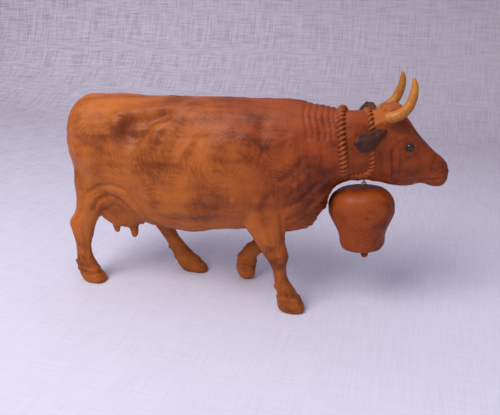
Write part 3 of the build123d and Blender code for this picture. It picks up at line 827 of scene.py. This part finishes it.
def leafPush(place, offset):
    # how far the leaf stands out at a place along it and an offset across it
    values = earValues
    cup = values["cup"] * (offset / values["cupReach"]) ** 2
    bow = values["bow"] * place * (values["bowLength"] - place)
    crease = values["crease"] * max(0.0, 1 - abs(offset - values["creaseAt"]) / values["creaseReach"])
    return cup - bow + values["outward"] - crease


def makeEar(name, material, node):
    values = earValues[name]
    rootAlong, rootSide, rootHeight = earValues["root"]
    root = onHead(rootAlong, values["hand"] * rootSide, rootHeight)
    run = (onHead(*values["tip"]) - root).normalized()
    lift = (upward - run * upward.dot(run)).normalized()
    lift = Matrix.Rotation(math.radians(values["roll"]), 3, run) @ lift
    out = run.cross(lift) * -values["hand"]
    thick = earValues["thickness"] / 2
    bm = bmesh.new()
    rings = []
    for place, low, high in denser(earValues["leaf"], 3):
        middle = (low + high) / 2
        centre = root + run * place * values["reach"] + lift * middle
        ring = ovalRing(bm, centre, lift, out, (high - low) / 2, thick, thick, earValues["square"], 32)
        for vert in ring:
            vert.co += out * leafPush(place, (vert.co - root).dot(lift) - middle)
        rings.append(ring)
    skinRings(bm, rings)
    return finished(asMesh(bm, name), name, material, "cow", node)


tailValues = {
    # x, side, height, radius, from the root down to the tuft
    "line": [
        (-84.0, 0, 99.8, 1.8), (-88.6, 0, 97.4, 1.95), (-92.0, 0, 93.8, 1.95), (-94.4, 0, 89.6, 1.9),
        (-95.5, 0, 85.0, 1.85), (-95.7, 0, 78.0, 1.8), (-95.2, 0, 71.0, 1.75), (-94.0, 0, 64.0, 1.7),
        (-92.6, 0, 57.0, 1.6), (-91.6, 0, 50.0, 1.6), (-91.4, 0, 45.0, 2.0), (-91.4, 0, 41.0, 2.6),
        (-91.4, 0, 37.0, 2.5), (-91.4, 0, 33.5, 1.6), (-91.4, 0, 31.4, 0.4),
    ],
    "strands": 7, "strandDepth": 0.06, "twist": 0.12,
}


def tailShape(angle):
    return 1 + tailValues["strandDepth"] * math.cos(tailValues["strands"] * angle)


def makeTail(material):
    bm = bmesh.new()
    skinRings(bm, tubeRings(bm, denser(tailValues["line"], 5), 40, tailShape, tailValues["twist"]))
    return finished(asMesh(bm, "TailWood"), "TailWood", material, "cow", "tail")


ropeValues = {
    # radii, the length of a twist and of a step, and how thick the waist between the strands is
    "neckRadius": 2.25, "headRadius": 1.85, "pitch": 4.3, "step": 0.3, "pinch": 0.42,
    # the collar's highest and lowest point, and its half width
    "collarTop": Vector((47.8, 0, 102.0)), "collarBottom": Vector((52.3, 0, 70.2)), "collarHalf": 10.6,
    # the head rope's run under the throat, on the right side, then its end on the left
    "throatRun": [Vector((54.0, -6.4, 72.2)), onHead(3.6, -6.9, 72.4), onHead(6.4, -7.4, 73.2),
                  onHead(8.8, -8.2, 75.0)],
    "leftEnd": Vector((54.6, 6.6, 72.2)),
    # its arch behind the ears: middle along the head and up, half width, rise, lean back at the top
    "arch": (9.0, 85.5), "archHalf": 9.5, "archRise": 16.2, "archLean": 1.6,
}


def strandShape(angle):
    # two strands side by side, with a filled waist between them
    return max(abs(math.cos(angle)), ropeValues["pinch"] + 0.1 * abs(math.sin(angle)))


def evenPoints(points, step, closed=False):
    # points at even steps along a smooth line that the given ones draw, and the line's length
    curve = bpy.data.curves.new("route", "CURVE")
    curve.dimensions = "3D"
    curve.resolution_u = 24
    spline = curve.splines.new("NURBS")
    spline.points.add(len(points) - 1)
    for target, point in zip(spline.points, points):
        target.co = (*point, 1.0)
    spline.use_cyclic_u = closed
    spline.order_u = 3
    spline.use_endpoint_u = not closed
    carrier = bpy.data.objects.new("route", curve)
    line = np.array([vert.co[:] for vert in bpy.data.meshes.new_from_object(carrier).vertices])
    bpy.data.objects.remove(carrier)
    if closed:
        line = np.vstack((line, line[:1]))
    lengths = np.concatenate(([0], np.cumsum(np.linalg.norm(np.diff(line, axis=0), axis=1))))
    marks = np.linspace(0, lengths[-1], int(lengths[-1] / step) + 1)
    return np.column_stack([np.interp(marks, lengths, line[:, axis]) for axis in range(3)]), lengths[-1]


def makeRope(name, points, radius, material, node, closed=False):
    line, length = evenPoints(points, ropeValues["step"], closed)
    turns = length / ropeValues["pitch"]
    if closed:
        turns = round(turns)
    rows = [(*place, radius) for place in line]
    if not closed:
        # the ends are rounded off
        for index in range(4):
            share = math.sin(math.radians(20 + 20 * index))
            rows[index] = (*line[index], radius * share)
            rows[-1 - index] = (*line[-1 - index], radius * share)
    bm = bmesh.new()
    skinRings(bm, tubeRings(bm, rows, 24, strandShape, 2 * math.pi * turns / length))
    return finished(asMesh(bm, name), name, material, "cow", node)


def collarPoints(count=28):
    middle = (ropeValues["collarTop"] + ropeValues["collarBottom"]) / 2
    rise = (ropeValues["collarTop"] - ropeValues["collarBottom"]) / 2
    half = leftward * ropeValues["collarHalf"]
    angles = [2 * math.pi * n / count for n in range(count)]
    return [middle + rise * math.cos(angle) + half * math.sin(angle) for angle in angles]


def headRopePoints():
    alongMiddle, heightMiddle = ropeValues["arch"]
    arch = []
    for angle in range(-120, 121, 20):
        rise = math.cos(math.radians(angle))
        out = math.sin(math.radians(angle))
        arch.append(onHead(alongMiddle - ropeValues["archLean"] * rise, ropeValues["archHalf"] * out,
                           heightMiddle + ropeValues["archRise"] * rise))
    low = ropeValues["throatRun"]
    # the left side is the right one mirrored about the head, apart from its end
    mirrored = [place + headSide * -2 * (place - neckTurn).dot(headSide) for place in low[:0:-1]]
    return [*low, *arch, *mirrored, ropeValues["leftEnd"]]


def bellFacets(angle):
    return 1 + bellValues["facetDepth"] * math.cos(bellValues["facets"] * angle)


def makeBell(material):
    bm = bmesh.new()
    lean = math.radians(bellValues["lean"])
    down = Vector((math.sin(lean), 0, -math.cos(lean)))
    across = Vector((math.cos(lean), 0, math.sin(lean)))
    crown = Vector(bellValues["crown"])
    wall = bellValues["wall"]
    outside = denser(bellValues["profile"], 4)
    inside = [(max(depth, wall), half - wall, deep - wall) for depth, half, deep in outside[::-1]
              if half > 5.5 and depth < 30]
    rings = [ovalRing(bm, crown + down * depth, across, leftward, half, deep, deep, 2.15, 80, bellFacets)
             for depth, half, deep in outside]
    rings += [ovalRing(bm, crown + down * depth, across, leftward, half, deep, deep, 2.1, 80)
              for depth, half, deep in inside]
    skinRings(bm, rings)
    return finished(asMesh(bm, "BellWood"), "BellWood", material, "bell", "bell_shell")


# the pieces that keep their CAD shape, and what they are made of
cadFinishes = {
    "eye_left": "bead", "eye_right": "bead", "clapper": "bell",
    "throat_screw_eye": "brass", "hanger_link": "brass", "bell_staple": "brass",
}
stageValues = {
    # a floor, a wide bend and a wall, in metres
    "floorBack": 0.34, "floorFront": -2.0, "half": 3.0, "bend": 0.16, "wall": 2.0, "bendSteps": 12,
    # the cloth's tones on the floor and on the left and right of the wall, then those of its darker threads;
    # the wall's tones, darker than the floor's and darker again to the right, are painted shade
    "floorTone": (0.61, 0.59, 0.73), "wallLeft": (0.58, 0.53, 0.63), "wallRight": (0.44, 0.40, 0.48),
    "floorThread": (0.57, 0.55, 0.685), "wallThread": (0.34, 0.305, 0.375),
    # where the tones change, in millimetres, and how quickly the weave changes across and along a thread
    "sideways": (-500.0, 200.0), "backwards": (-120.0, 420.0), "acrossThread": 1300.0, "alongThread": 40.0,
}
lightValues = {
    # place, size, power, colour
    "Window": ((-0.30, -0.46, 0.70), 0.5, 7.2, (1.0, 0.98, 0.94)),
    "Fill": ((0.5, -0.6, 0.35), 0.8, 1.0, (0.93, 0.95, 1.0)),
    "Sky": ((0.0, 0.15, 0.9), 1.0, 3.0, (0.95, 0.96, 1.0)),
}
lightAim = Vector((0.0, 0.0, 0.05))
worldValues = {"colour": (0.80, 0.80, 0.92, 1), "strength": 0.33}
cameraValues = {
    # the lens in millimetres, the place that it looks at and its distance in metres, angles in degrees
    "lens": 38.9, "target": (0.006, -0.0074, 0.0518), "azimuth": 16, "elevation": 22, "reach": 0.270,
}


def clothFinish():
    cloth = Finish("PaleCloth")
    side, back, _ = cloth.axes()
    # painted shade: the cloth darkens from the floor up the wall, and across the wall to the right
    backwards = back.between(*stageValues["backwards"])
    rightwards = side.between(*stageValues["sideways"])
    wall = cloth.mixed(rightwards, stageValues["wallLeft"], stageValues["wallRight"])
    plain = cloth.mixed(backwards, stageValues["floorTone"], wall)
    shaded = cloth.mixed(backwards, stageValues["floorThread"], stageValues["wallThread"])
    across = stageValues["acrossThread"]
    along = stageValues["alongThread"]
    warp = cloth.noise((across, along, along), 2.0)
    weft = cloth.noise((along, across, across), 2.0)
    cloth.set(Base_Color=cloth.mixed((warp + weft).between(0.82, 1.26), plain, shaded), Roughness=0.9)
    return cloth.material


def makeStage():
    values = stageValues
    bm = bmesh.new()
    bend = values["bend"]
    line = [Vector((0, values["floorFront"], 0)), Vector((0, values["floorBack"], 0))]
    for step in range(1, values["bendSteps"] + 1):
        angle = math.radians(90 * step / values["bendSteps"])
        line.append(Vector((0, values["floorBack"] + bend * math.sin(angle), bend - bend * math.cos(angle))))
    line.append(Vector((0, values["floorBack"] + bend, values["wall"])))
    verts = [bm.verts.new(point - forward * values["half"]) for point in line]
    edges = [bm.edges.new(pair) for pair in zip(verts, verts[1:])]
    swept = bmesh.ops.extrude_edge_only(bm, edges=edges)["geom"]
    moved = [part for part in swept if isinstance(part, bmesh.types.BMVert)]
    bmesh.ops.translate(bm, vec=forward * 2 * values["half"], verts=moved)
    mesh = asMesh(bm, "Cloth")
    mesh.polygons.foreach_set("use_smooth", [True] * len(mesh.polygons))
    mesh.materials.append(clothFinish())
    cloth = bpy.data.objects.new("Cloth", mesh)
    bpy.context.scene.collection.objects.link(cloth)
    print("stage", len(mesh.polygons), "faces")


def makeLights():
    for name, (place, size, power, colour) in lightValues.items():
        lamp = bpy.data.lights.new(name, "AREA")
        lamp.size = size
        lamp.energy = power
        lamp.color = colour
        holder = bpy.data.objects.new(name, lamp)
        holder.location = place
        holder.rotation_euler = (lightAim - Vector(place)).to_track_quat("-Z", "Y").to_euler()
        bpy.context.scene.collection.objects.link(holder)
    world = bpy.data.worlds.new("Studio")
    world.use_nodes = True
    background = world.node_tree.nodes["Background"]
    background.inputs["Color"].default_value = worldValues["colour"]
    background.inputs["Strength"].default_value = worldValues["strength"]
    bpy.context.scene.world = world
    bpy.context.scene.view_settings.view_transform = "Standard"
    print("lights", len(lightValues))


def makeCamera():
    camera = bpy.data.cameras.new("Camera")
    camera.lens = cameraValues["lens"]
    camera.sensor_width = 36.0
    camera.clip_start = 0.01
    camera.clip_end = 20.0
    holder = bpy.data.objects.new("Camera", camera)
    azimuth = math.radians(cameraValues["azimuth"])
    elevation = math.radians(cameraValues["elevation"])
    back = Vector((math.sin(azimuth) * math.cos(elevation), -math.cos(azimuth) * math.cos(elevation),
                   math.sin(elevation)))
    holder.location = Vector(cameraValues["target"]) + back * cameraValues["reach"]
    holder.rotation_euler = (-back).to_track_quat("-Z", "Y").to_euler()
    bpy.context.scene.collection.objects.link(holder)
    bpy.context.scene.camera = holder
    print("camera", cameraValues["lens"], "mm")


finishes = {
    "body": carvedWood("CowWood"), "horn": carvedWood("HornWood"), "rope": carvedWood("RopeWood"),
    "bell": carvedWood("BellWoodFinish"), "leather": earLeather(), "bead": eyeBead(), "brass": wireBrass(),
}
print("finishes", len(finishes))

makeCow(finishes["body"])
makeHorn("HornLeft", 1, finishes["horn"], "horn_left")
makeHorn("HornRight", -1, finishes["horn"], "horn_right")
makeEar("EarRight", finishes["leather"], "ear_right")
makeEar("EarLeft", finishes["leather"], "ear_left")
makeTail(finishes["body"])
makeRope("NeckRope", collarPoints(), ropeValues["neckRadius"], finishes["rope"], "neck_rope", closed=True)
makeRope("HeadRope", headRopePoints(), ropeValues["headRadius"], finishes["rope"], "head_rope")
makeBell(finishes["bell"])
for node, finishName in cadFinishes.items():
    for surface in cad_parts[node].material_slots:
        surface.material = finishes[finishName]
print("CAD pieces kept", len(cadFinishes))

makeStage()
makeLights()
makeCamera()
